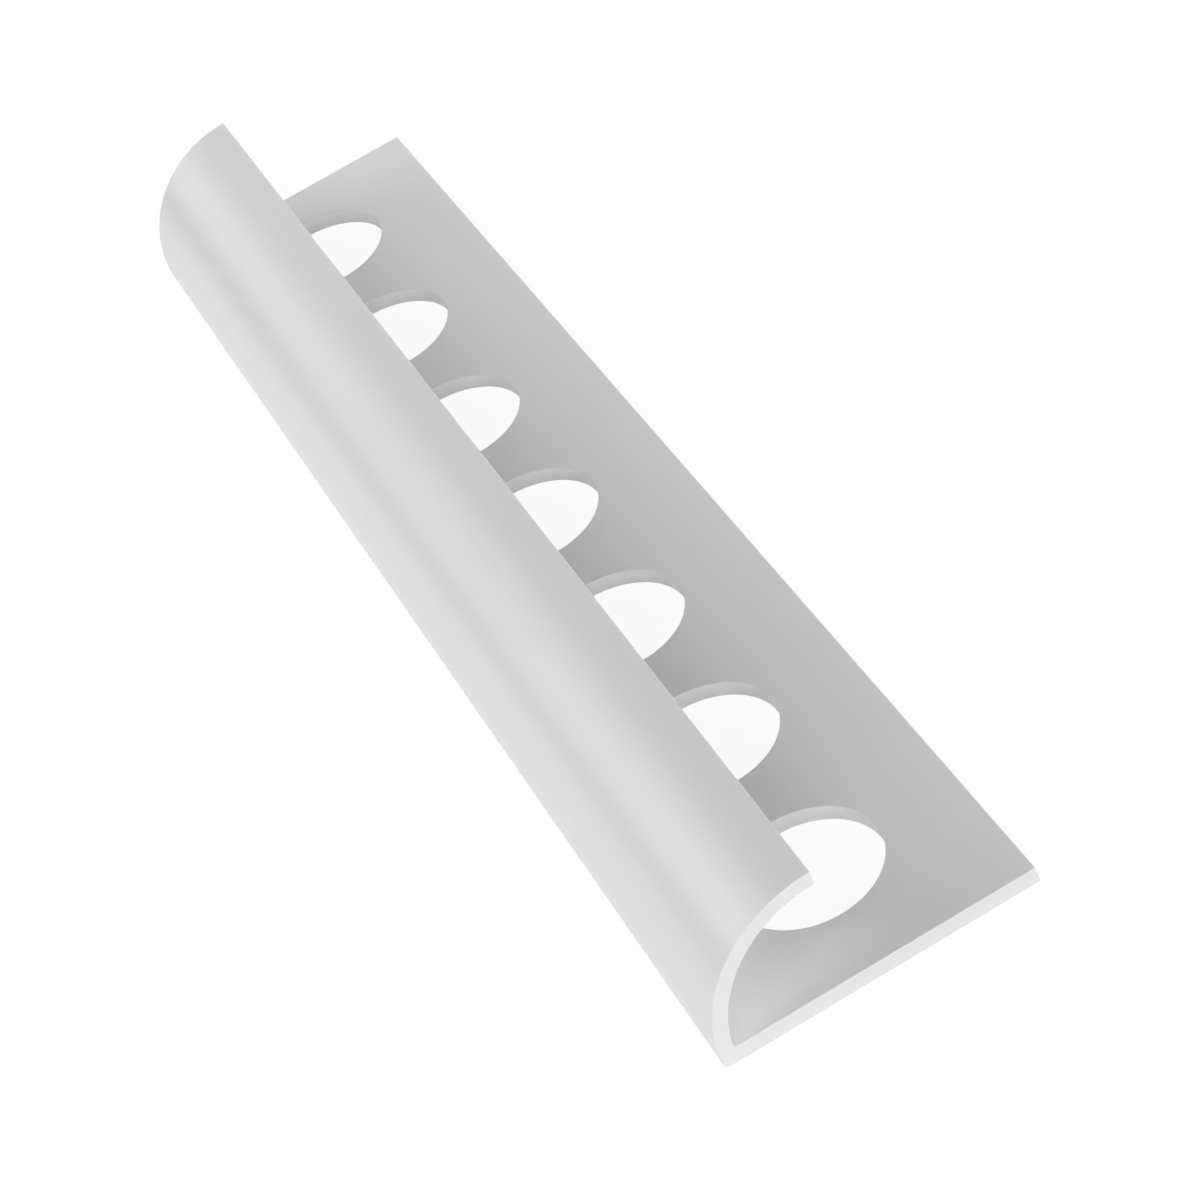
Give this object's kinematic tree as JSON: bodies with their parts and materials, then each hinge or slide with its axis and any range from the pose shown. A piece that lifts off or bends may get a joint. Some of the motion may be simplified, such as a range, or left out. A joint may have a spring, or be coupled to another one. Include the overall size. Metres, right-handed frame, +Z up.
{
  "type": "tile edge trim",
  "caption": "Quadrant tile edge trim: a flat leg with a row of round anchor holes and a thin quarter-round face that covers the edge of a tile.",
  "frame": {"origin": "on the underside of the leg, at the centre of its width and of the trim's length", "axes": "+X across the section, from the round face to the leg's free edge; +Y along the trim; +Z up"},
  "size_m": [0.0216, 0.11, 0.01],
  "materials": {
    "trim_plastic": "satin"
  },
  "bodies": {
    "root": {"edge_trim": "trim_plastic"}
  },
  "joints": []
}
